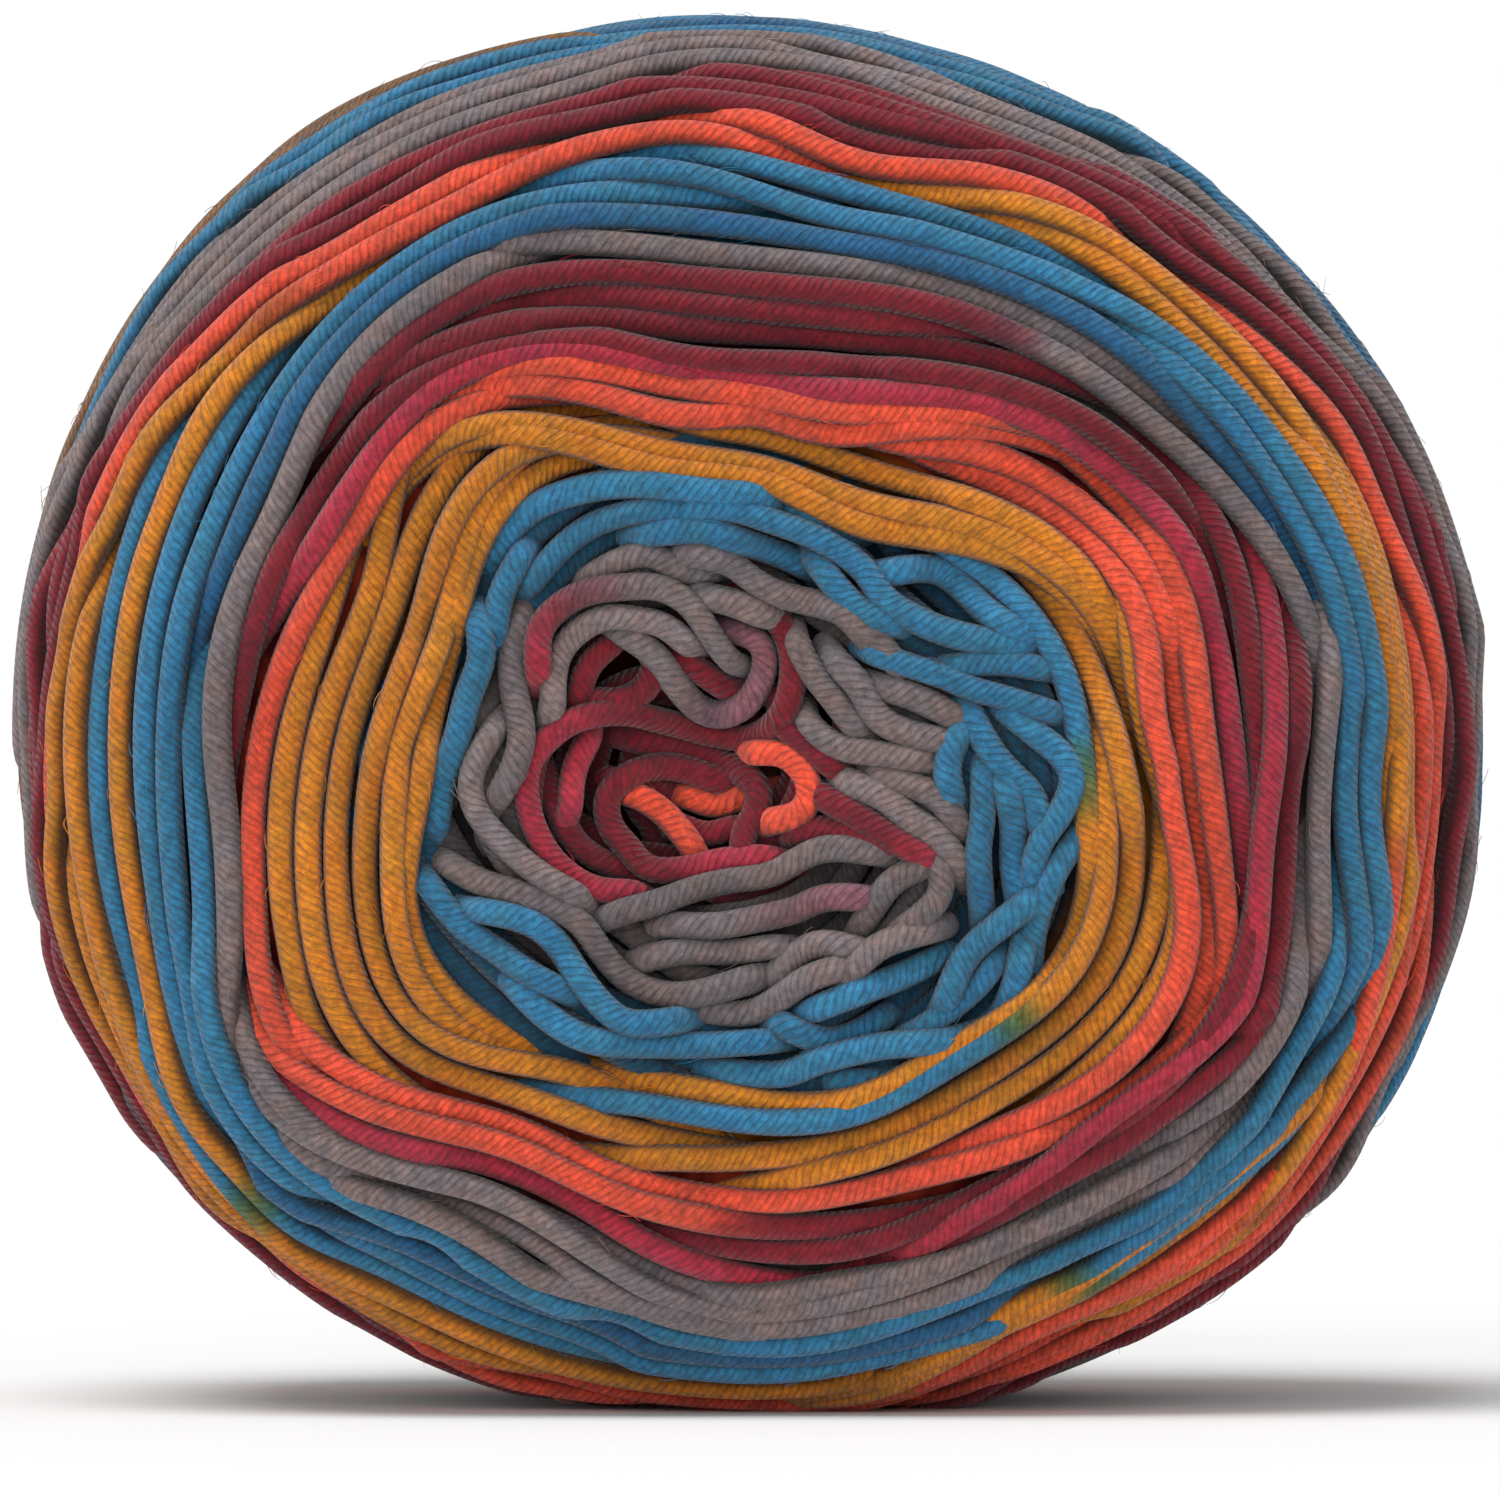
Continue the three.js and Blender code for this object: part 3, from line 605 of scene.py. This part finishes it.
def to_metres(points):
    """From millimetres round the core to metres on the floor, with the flat spot that the cake rests on."""
    points[:, 2] = np.maximum(points[:, 2], -CORE_HEIGHT)
    return (points + [CORE_X, 0, CORE_HEIGHT]) * MM


FIBRE = 0.045  # radius of a loose fibre
FIBRES_PER_MM = 0.14
FIBRE_REACH = (0.9, 2.6)
FIBRE_STAND = (0.15, 0.5)  # how far it stands out of the strand
FIBRE_CURL = 0.8
FIBRE_LIGHTER = (1.1, 1.9)  # a single fibre catches more light than the yarn does
FIBRE_STEPS = 4
FIBRE_SIDES = 3


def fuzz_mesh(name, strands):
    """Short loose fibres that stand out of the yarn, each a thin closed tube with its root in the strand."""
    roots, ahead, up, across, colour = [], [], [], [], []
    for strand in strands:
        middle = strand["middle"]
        count = int(len(middle) * SPACING * FIBRES_PER_MM)
        pick = rng.integers(2, len(middle) - 2, count)
        forward = middle[pick + 1] - middle[pick - 1]
        forward /= np.linalg.norm(forward, axis=1)[:, None]
        normal = strand["normal"][pick]
        roots.append(middle[pick] + forward * rng.uniform(-0.5, 0.5, (count, 1)) * SPACING)
        ahead.append(forward * rng.choice([-1, 1], (count, 1)))
        up.append(normal)
        across.append(np.cross(forward, normal))
        colour.append(strand["colour"][pick])
    roots, ahead, up, across, colour = (np.concatenate(v) for v in (roots, ahead, up, across, colour))
    count = len(roots)
    lean = np.radians(rng.uniform(-80, 80, (count, 1)))
    out = up * np.cos(lean) + across * np.sin(lean)
    side = across * np.cos(lean) - up * np.sin(lean)
    reach = rng.uniform(*FIBRE_REACH, (count, 1))
    stand = rng.uniform(*FIBRE_STAND, (count, 1))
    curl = rng.normal(0, FIBRE_CURL, (count, 1))
    rings = []
    for step in range(FIBRE_STEPS + 1):
        t = step / FIBRE_STEPS
        rise = 0.9 * RADIUS + stand * math.sin(2.2 * t)
        middle = roots + out * rise + ahead * reach * t + side * curl * t * t
        wide = FIBRE * (1 - 0.5 * t)
        for corner in range(FIBRE_SIDES):
            a = TURN * corner / FIBRE_SIDES
            rings.append(middle + wide * (out * math.cos(a) + side * math.sin(a)))
    points = np.stack(rings, axis=1)
    each = points.shape[1]
    ring = np.arange(FIBRE_SIDES)
    row = np.arange(FIBRE_STEPS)[:, None] * FIBRE_SIDES
    here, there = row + ring, row + (ring + 1) % FIBRE_SIDES
    quads = np.stack([here, here + FIBRE_SIDES, there + FIBRE_SIDES, there], axis=2).reshape(-1, 4)
    caps = np.array([[0, 1, 2], [each - 1, each - 2, each - 3]])
    start = np.arange(count)[:, None, None] * each
    tint = np.repeat(np.clip(colour * rng.uniform(*FIBRE_LIGHTER, (count, 1)), 0, 1), each, axis=0)
    return fill_mesh(name, to_metres(points.reshape(-1, 3)), (quads + start).reshape(-1, 4),
                     (caps + start).reshape(-1, 3), None, tint)


def in_scene(name, data):
    """A new object in the scene."""
    thing = bpy.data.objects.new(name, data)
    bpy.context.scene.collection.objects.link(thing)
    return thing


def fill_mesh(name, points, quads, triangles, uv, colours):
    """A mesh object in the scene, with the yarn's colour on its points."""
    mesh = bpy.data.meshes.new(name)
    mesh.vertices.add(len(points))
    mesh.vertices.foreach_set("co", points.astype(np.float32).ravel())
    loops = np.concatenate([quads.ravel(), triangles.ravel()])
    starts = np.concatenate([np.arange(len(quads)) * 4, len(quads) * 4 + np.arange(len(triangles)) * 3])
    mesh.loops.add(len(loops))
    mesh.loops.foreach_set("vertex_index", loops.astype(np.int32))
    mesh.polygons.add(len(starts))
    mesh.polygons.foreach_set("loop_start", starts.astype(np.int32))
    mesh.polygons.foreach_set("use_smooth", np.ones(len(starts), bool))
    mesh.update(calc_edges=True)
    if uv is not None:
        layer = mesh.uv_layers.new(name="UVMap")
        layer.data.foreach_set("uv", uv.astype(np.float32).ravel())
    colour = mesh.color_attributes.new("yarn_colour", "FLOAT_COLOR", "POINT")
    rgba = np.hstack([np.clip(colours, 0, 1), np.ones((len(colours), 1))])
    colour.data.foreach_set("color", rgba.astype(np.float32).ravel())
    mesh.validate()
    return in_scene(name, mesh)


# Materials
def new_material(name, numbers):
    """A material, its node tree and its surface shader, with these numbers on the shader's sockets."""
    material = bpy.data.materials.new(name)
    material.use_nodes = True
    shader = material.node_tree.nodes["Principled BSDF"]
    for socket_name, number in numbers.items():
        shader.inputs[socket_name].default_value = number
    return material, material.node_tree, shader


def yarn_colour(tree):
    """The colour that the mesh carries on its points."""
    colour = tree.nodes.new("ShaderNodeAttribute")
    colour.attribute_name = "yarn_colour"
    return colour.outputs["Color"]


def shaded(tree, colour, shade):
    """A colour times a number."""
    node = tree.nodes.new("ShaderNodeVectorMath")
    node.operation = "SCALE"
    tree.links.new(colour, node.inputs[0])
    tree.links.new(shade, node.inputs["Scale"])
    return node.outputs[0]


def socket(value, tree, target):
    """Sets a number on a socket, or links another node's output to it."""
    if isinstance(value, (int, float)):
        target.default_value = value
    else:
        tree.links.new(value, target)


def math_node(tree, operation, a, b=None, c=None):
    """The result of a sum on up to three numbers or outputs."""
    node = tree.nodes.new("ShaderNodeMath")
    node.operation = operation
    for value, target in zip((a, b, c), node.inputs):
        if value is not None:
            socket(value, tree, target)
    return node.outputs[0]


def ramp_between(tree, value, low, high, to_low=0.0, to_high=1.0):
    """A smooth ramp from one number to another while the value goes from low to high."""
    node = tree.nodes.new("ShaderNodeMapRange")
    node.interpolation_type = "SMOOTHSTEP"
    socket(value, tree, node.inputs["Value"])
    for name, number in (("From Min", low), ("From Max", high), ("To Min", to_low), ("To Max", to_high)):
        node.inputs[name].default_value = number
    return node.outputs["Result"]


def noise(tree, vector, scale, detail=2.0, roughness=0.5):
    """Soft noise from 0 to 1. On the place in metres, the scale is the number of bumps in a metre."""
    node = tree.nodes.new("ShaderNodeTexNoise")
    node.inputs["Scale"].default_value = scale
    node.inputs["Detail"].default_value = detail
    node.inputs["Roughness"].default_value = roughness
    tree.links.new(vector, node.inputs["Vector"])
    return node.outputs["Fac"]


# Lowest and highest factor on the yarn's colour, for each thing that shades it: the grooves and the sides are
# painted shade, the streaks and patches are the yarn's own uneven colour
# painted shade in the grooves between the plies
GROOVE_SHADE = (0.82, 1.06)
STREAKS = (0.80, 1.20)
MOTTLE = (0.74, 1.26)
BROAD_PATCHES = (0.90, 1.10)
SIDES = (0.24, 1.05)
# Factors on its red and its blue where the dye is coolest and where it is warmest
WARM_RED = (0.90, 1.10)
WARM_BLUE = (1.08, 0.92)


def yarn_material():
    """Soft plied yarn: six plies laid to the left, fibres along each ply, a mottled colour, and painted shade
    in the grooves and at the sides.
    """
    material, tree, shader = new_material("plied_yarn", {
        "Roughness": 0.95, "Specular IOR Level": 0.15, "Sheen Weight": 0.2, "Sheen Roughness": 0.6})
    uv = tree.nodes.new("ShaderNodeUVMap")
    uv.uv_map = "UVMap"
    split = tree.nodes.new("ShaderNodeSeparateXYZ")
    tree.links.new(uv.outputs[0], split.inputs[0])
    length, turn = split.outputs[0], split.outputs[1]
    place = tree.nodes.new("ShaderNodeTexCoord").outputs["Object"]
    # Ply number at each place: whole numbers are the grooves, which waver a little
    plies_along = math_node(tree, "MULTIPLY", length, PLIES / LAY)
    even = math_node(tree, "MULTIPLY_ADD", turn, -float(PLIES), plies_along)
    ply = math_node(tree, "MULTIPLY_ADD", noise(tree, place, 420.0, 2.0), 1.1, even)
    arch = math_node(tree, "ABSOLUTE", math_node(tree, "SINE", math_node(tree, "MULTIPLY", ply, math.pi)))
    round_ply = math_node(tree, "POWER", arch, 0.7)
    # Fibres run along the ply: fine across it, slow along it
    fibre_at = tree.nodes.new("ShaderNodeCombineXYZ")
    socket(math_node(tree, "MULTIPLY", ply, 3.0), tree, fibre_at.inputs[0])
    socket(math_node(tree, "MULTIPLY", length, 0.6), tree, fibre_at.inputs[1])
    fibres = noise(tree, fibre_at.outputs[0], 1.6, 3.0, 0.6)
    mottle = noise(tree, place, 1100.0, 3.0, 0.7)
    broad = noise(tree, place, 60.0, 2.0)
    # Colour: painted shade in the grooves, streaked by the fibres, mottled
    shade = ramp_between(tree, arch, 0.0, 0.9, *GROOVE_SHADE)
    streak = ramp_between(tree, fibres, 0.25, 0.75, *STREAKS)
    patch = ramp_between(tree, mottle, 0.3, 0.7, *MOTTLE)
    slow = ramp_between(tree, broad, 0.3, 0.7, *BROAD_PATCHES)
    # Less light reaches the sides, where a strand meets its neighbours
    outward = math_node(tree, "SINE", math_node(tree, "MULTIPLY", turn, TURN))
    side = ramp_between(tree, outward, -0.1, 0.85, *SIDES)
    for factor in (streak, patch, slow, side):
        shade = math_node(tree, "MULTIPLY", shade, factor)
    # The dye is a little warmer here and cooler there
    dye = noise(tree, place, 230.0, 2.0)
    warmth = tree.nodes.new("ShaderNodeCombineXYZ")
    socket(ramp_between(tree, dye, 0.3, 0.7, *WARM_RED), tree, warmth.inputs[0])
    warmth.inputs[1].default_value = 1.0
    socket(ramp_between(tree, dye, 0.3, 0.7, *WARM_BLUE), tree, warmth.inputs[2])
    dyed = tree.nodes.new("ShaderNodeVectorMath")
    dyed.operation = "MULTIPLY"
    tree.links.new(yarn_colour(tree), dyed.inputs[0])
    tree.links.new(warmth.outputs[0], dyed.inputs[1])
    tree.links.new(shaded(tree, dyed.outputs[0], shade), shader.inputs["Base Color"])
    # Relief
    lint = math_node(tree, "MULTIPLY", mottle, 0.8)
    height = math_node(tree, "ADD", math_node(tree, "MULTIPLY_ADD", fibres, 0.45, round_ply), lint)
    bump = tree.nodes.new("ShaderNodeBump")
    bump.inputs["Strength"].default_value = 0.6
    bump.inputs["Distance"].default_value = 0.30 * MM
    tree.links.new(height, bump.inputs["Height"])
    tree.links.new(bump.outputs[0], shader.inputs["Normal"])
    return material


def core_material():
    """The inside of the cake, seen only between strands, painted dark as the shade there."""
    material, tree, shader = new_material("wound_inside_painted_shade", {"Roughness": 1.0, "Specular IOR Level": 0.05})
    place = tree.nodes.new("ShaderNodeTexCoord").outputs["Object"]
    # painted shade: the band's colour at about a fifth to a half of its strength
    shade = ramp_between(tree, noise(tree, place, 500.0, 3.0), 0.3, 0.7, 0.22, 0.48)
    tree.links.new(shaded(tree, yarn_colour(tree), shade), shader.inputs["Base Color"])
    return material


def fibre_material():
    """Single fibres that stand out of the yarn: its own colour, a little uneven."""
    material, tree, shader = new_material("loose_fibre", {"Roughness": 0.9, "Specular IOR Level": 0.15})
    place = tree.nodes.new("ShaderNodeTexCoord").outputs["Object"]
    shade = ramp_between(tree, noise(tree, place, 900.0), 0.3, 0.7, 0.8, 1.2)
    tree.links.new(shaded(tree, yarn_colour(tree), shade), shader.inputs["Base Color"])
    return material


def floor_material():
    """Matt paper, nearly white."""
    return new_material("studio_paper", {"Base Color": (0.86, 0.86, 0.86, 1), "Roughness": 0.9})[0]


# The wound body beneath the strands
CORE_SUNK = 1.6  # how far it lies beneath the surface
WALL_SUNK = 2.1  # how much farther under the wall's two layers
WALL_RIM = 0.98  # share of the outline at which the wall's strands end, under the faces' turns
WALL_SWEEP = math.radians(102)  # how far round the cake a strand goes while it crosses the wall
WALL_COUNT = 46  # strands in a whole layer
SWELLING = 1.5  # how far the lower layer swells into the gaps of the upper one
CORE_BANDS = 3  # bands that the loosened turns take the place of
BODY_RINGS = 119


def wound_body(front_edges, back_edges):
    """The body beneath the strands, tinted like the band above it; its material paints it dark as the shade
    between the strands.
    """
    around = np.arange(0, STEPS, 6)
    shares = np.linspace(0, 1, BODY_RINGS + 2)[1:-1]
    rows, tints = [], []
    for share in shares:
        points, normals = on_chart(ANGLE[around], share * LENGTH[around])
        wall = np.exp(-(((share - 0.5) / 0.14) ** 4))
        rows.append(points - normals * (CORE_SUNK + WALL_SUNK * wall))
        tints.append(band_tints(share * LENGTH[around], around, front_edges, back_edges))
    count = len(around)
    front_middle = [0, -HALF + FRONT_SINK[0] + CORE_SUNK, 0]
    back_middle = [0, HALF - BACK_SINK[0] - CORE_SUNK, 0]
    points = np.concatenate(rows + [[front_middle], [back_middle]])
    points[:, 2] = np.maximum(points[:, 2], -CORE_HEIGHT + 0.3)
    tints = np.concatenate(tints + [[linear(COLOURS["crimson"])] * 2])
    ring = np.arange(count)
    row = np.arange(len(shares) - 1)[:, None]
    here, there = row * count + ring, row * count + (ring + 1) % count
    quads = np.stack([here, there, there + count, here + count], axis=2).reshape(-1, 4)[:, ::-1]
    front, back = len(points) - 2, len(points) - 1
    last = (len(shares) - 1) * count
    caps = np.concatenate([
        np.stack([np.full(count, front), ring, (ring + 1) % count], 1),
        np.stack([np.full(count, back), last + (ring + 1) % count, last + ring], 1)])
    return fill_mesh("wound_body", to_metres(points), quads, caps, None, tints)


def band_tints(along, around, front_edges, back_edges):
    """Colour of the band at these distances along the meridian, one for each angle, with painted shade in the
    hollow round the core.
    """
    tint = np.tile(linear(COLOURS["blue"]), (len(around), 1))
    for band, edge in reversed(list(zip(BANDS, front_edges))):
        tint[along < edge[around]] = linear(COLOURS[band["yarn"]])
    tint[along < front_edges[CORE_BANDS - 1][around]] *= 0.4  # painted shade in the hollow round the core
    for band, edge in reversed(list(zip(BANDS, back_edges))):
        tint[LENGTH[around] - along < edge[around]] = linear(COLOURS[band["yarn"]])
    return tint


# Edges of the bands on both faces
front_edges = [along_at_radius(NEARNESS * round_the_clock(band["edge"])) for band in BANDS]
outline = round_the_clock(OUTLINE) - INSET


def back_edge(band):
    """The same band on the back face, rounder near the middle and true to the outline near the rim."""
    edge = NEARNESS * round_the_clock(band["edge"])
    share = np.mean(band["edge"]) / np.mean(OUTLINE)
    even = share * outline * 0.6 + np.mean(band["edge"]) * 0.4
    return along_at_radius(even * (1 - share ** 3) + edge * share ** 3, from_back=True)


back_edges = [back_edge(band) for band in BANDS]


def front_chart(along, span):
    """A distance from the front face's middle is already one along the chart."""
    return along


def back_chart(along, span):
    """A distance from the back face's middle is counted from the chart's other end."""
    return LENGTH[span % STEPS] - along


def fill_face(front, bands, edges, before, to_chart):
    """Fills band after band outwards, and returns the strands of each."""
    filled = []
    for band, edge in zip(bands, edges):
        filled.append(fill_band(front, edge, band, before, to_chart))
        before = band["yarn"]
    return filled


CORE_START = 4.0  # radius at which the turns under the loosened core begin
UNDER_SUNK = 0.6 * YARN  # how deep they lie
UNDER_DARK = 0.45  # factor on their colour, because little light reaches them
HOLE = 8.0  # radius at which the turns of the back face begin
HIDDEN_END = 2.5  # how far a loose turn runs on at each end, beyond what shows of it


def lengthen(end):
    """A step onwards from the end of a loose turn."""
    return HIDDEN_END * end / np.linalg.norm(end)


def loose_turn(colour, route):
    """A strand along a route over the core, whose ends dive, and the more so under the wound bands."""
    corners = NEARNESS * np.array(route, float)
    corners[0] += lengthen(corners[0] - corners[1])
    corners[-1] += lengthen(corners[-1] - corners[-2])
    fine = np.linspace(0, len(corners) - 1, 12 * len(corners))
    k = np.clip(np.floor(fine).astype(int), 0, len(corners) - 2)
    s = (fine - k)[:, None]
    padded = np.concatenate([[2 * corners[0] - corners[1]], corners, [2 * corners[-1] - corners[-2]]])
    a, b, c, d = (padded[k + n] for n in range(4))
    path = smooth_between(a, b, c, d, s)
    angle = np.arctan2(path[:, 1], path[:, 0]) % TURN
    radius = np.hypot(path[:, 0], path[:, 1])
    step = (angle / STEP).astype(int) % STEPS
    along = np.array([np.interp(r, CHART_R[i, :HALF_WAY], LENGTH[i] * TO_HALF_WAY)
                      for r, i in zip(radius, step)])
    first, _, second = colour.partition(" to ")
    paint = blend_yarn(first, second) if second else plain(first)
    outside = ease((along - front_edges[CORE_BANDS - 1][step] + 1.5) / 3)
    drop = dive_ends(len(angle), 7, 1.5 * YARN) + YARN * outside
    return strand_from_chart(angle, along, paint, 0.0, drop)


# Every strand of both faces, in the order in which they are laid
under = []
front = np.full(STEPS, CORE_START)
for band, edge in zip(BANDS[:CORE_BANDS], front_edges):
    under += fill_band(front, edge, band, None, front_chart, -UNDER_SUNK)
for strand in under:
    strand["colour"] *= UNDER_DARK
loose = [loose_turn(*row) for row in LOOSE_TURNS]
core_edge = front_edges[CORE_BANDS - 1]
groups = fill_face(core_edge.copy(), BANDS[CORE_BANDS:], front_edges[CORE_BANDS:], "blue", front_chart)
back_groups = fill_face(np.full(STEPS, HOLE), BANDS, back_edges, None, back_chart)

# Wall
wall_front = along_at_radius(WALL_RIM * outline)
wall_back = LENGTH - along_at_radius(WALL_RIM * outline, from_back=True)


def wall_paint(layer):
    """The last-wound yarn, whose colours change slowly round the wall."""
    def paint(angle):
        hour = int(round(3 - angle / TURN * 12 + 0.3 * rng.normal())) % 12
        return plain(WALL_COLOURS[hour][layer])
    return paint


def grouping(angle):
    """The upper strands lie in groups with gaps between them, through which the lower ones show. Above zero
    in a group and below it in a gap, at the angle round the cake of a strand's middle."""
    return np.sin(5 * angle) + 0.5 * np.sin(2 * angle + 1) + 0.5


def lower_lift(angle):
    """The lower strands swell into the gaps between the groups."""
    return SWELLING * ease(-grouping(angle) / 0.3) - WALL_SUNK


def upper_lift(angle):
    """The upper strands lie one strand higher."""
    return np.full(len(angle), CONTACT - WALL_SUNK)


wall_lower = cross_wound(wall_front, wall_back, -1, lower_lift, wall_paint(1), lambda angle: True)
wall_upper = cross_wound(wall_front, wall_back, 1, upper_lift, wall_paint(0),
                         lambda angle: grouping(angle) > 0)

yarn = yarn_material()
body = wound_body(front_edges, back_edges)
body.data.materials.append(core_material())
pieces = [body]
for turns in [
    ("core_under_turns", under),
    ("core_loose_turns", loose, 12, 0.8),
    ("front_inner_turns", sum(groups[:3], [])),
    ("front_middle_turns", sum(groups[3:6], [])),
    ("front_outer_turns", sum(groups[6:], [])),
    ("back_inner_turns", sum(back_groups[:7], [])),
    ("back_outer_turns", sum(back_groups[7:], [])),
    ("wall_lower_turns", wall_lower),
    ("wall_upper_turns", wall_upper),
]:
    piece = tube_mesh(*turns)
    piece.data.materials.append(yarn)
    pieces.append(piece)
fuzz = fuzz_mesh("loose_fibres", loose + sum(groups, []) + sum(back_groups, []) + wall_upper)
fuzz.data.materials.append(fibre_material())
pieces.append(fuzz)
for piece in pieces:
    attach(piece, "root")
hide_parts("wound_yarn")

# Stage
SKY_LIGHT = 0.42  # strength of the sky as a light
SKY_SEEN = 1.0  # and where the camera sees it
bpy.ops.mesh.primitive_plane_add(size=40, location=(0, 0, 0))
floor = bpy.context.active_object
floor.name = "floor"
floor.data.materials.append(floor_material())


def sun(name, place, angle, power):
    """A broad soft light from the direction of a place."""
    light = bpy.data.lights.new(name, "SUN")
    light.angle = math.radians(angle)
    light.energy = power
    in_scene(name, light).rotation_euler = Vector(place).to_track_quat("Z", "Y").to_euler()


sun("top_light", (-0.2, -0.25, 1.0), 35, 2.3)
sun("front_light", (-0.3, -1.0, 0.15), 70, 1.6)
world = bpy.data.worlds.new("studio")
world.use_nodes = True
sky = world.node_tree
sky.nodes["Background"].inputs["Color"].default_value = (1, 1, 1, 1)
seen = sky.nodes.new("ShaderNodeLightPath").outputs["Is Camera Ray"]
strength = ramp_between(sky, seen, 0.0, 1.0, SKY_LIGHT, SKY_SEEN)
sky.links.new(strength, sky.nodes["Background"].inputs["Strength"])
bpy.context.scene.world = world
bpy.context.scene.view_settings.view_transform = "Standard"

camera_data = bpy.data.cameras.new("camera")
camera = in_scene("camera", camera_data)
camera.location = (0, -CAMERA_AWAY * MM, CAMERA_HEIGHT * MM)
camera.rotation_euler = (math.pi / 2, 0, 0)
camera_data.sensor_width = 36
camera_data.lens = camera_data.sensor_width * CAMERA_AWAY / PHOTO_WIDTH
bpy.context.scene.camera = camera
